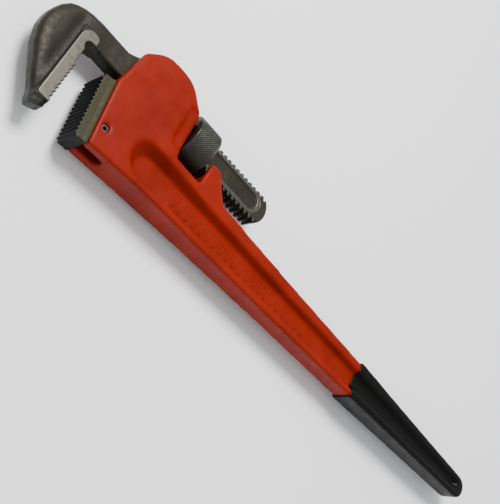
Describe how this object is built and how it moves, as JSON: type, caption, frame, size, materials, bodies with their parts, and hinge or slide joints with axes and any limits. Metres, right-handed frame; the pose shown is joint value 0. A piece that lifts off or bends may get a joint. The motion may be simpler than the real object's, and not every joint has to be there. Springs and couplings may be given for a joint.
{
  "type": "pipe wrench",
  "caption": "Heavy-duty straight pipe wrench with an I-beam handle, a threaded hook jaw, a knurled adjusting nut and a pinned heel jaw.",
  "frame": {"origin": "centre of the whole wrench's box, on its lowest side: the wrench lies on its side and the nut's rim touches the floor", "axes": "+X along the shank and handle, towards the end of the handle; +Y towards the wrench's back, where the hook jaw's shank runs; +Z through its thickness"},
  "size_m": [0.6217, 0.1207, 0.045],
  "materials": {
    "red_paint": "satin red enamel on cast iron",
    "black_vinyl": "dipped black vinyl",
    "forged_steel": "dark forging scale with machined edges",
    "black_oxide": "knurled, black oxide",
    "heel_steel": "ground sides, hardened teeth",
    "pin_steel": "dark rolled steel",
    "spring_steel": "bright spring steel"
  },
  "bodies": {
    "handle": {"handle_casting": "red_paint", "handle_grip": "black_vinyl", "heel_jaw": "heel_steel", "heel_jaw_pin": "pin_steel", "coil_spring": "spring_steel"},
    "spring_leaf": {"flat_spring": "spring_steel", "spring_rivet": "pin_steel"},
    "nut": {"adjusting_nut": "black_oxide"},
    "hook": {"hook_jaw": "forged_steel"}
  },
  "joints": [
    {"name": "jaw_rock", "type": "hinge", "parent": "handle", "child": "spring_leaf", "pos_m": [-0.16185, 0.00475, 0.0225], "axis": [0, 0, -1], "range_deg": [0, 3], "stiffness_Nm_per_rad": 15, "springref_deg": -4.58, "deforming": ["coil_spring"]},
    {"name": "nut_spin", "type": "hinge", "parent": "spring_leaf", "child": "nut", "pos_m": [-0.15085, 0.02475, 0.0225], "axis": [1, 0, 0], "range_deg": [-870, 3725]},
    {"name": "jaw_slide", "type": "slide", "parent": "spring_leaf", "child": "hook", "axis": [-1, 0, 0], "range_m": [-0.014, 0.06]}
  ],
  "couplings": [
    {"joint": "nut_spin", "follows": "jaw_slide", "rad_per_m": 1083.3}
  ]
}
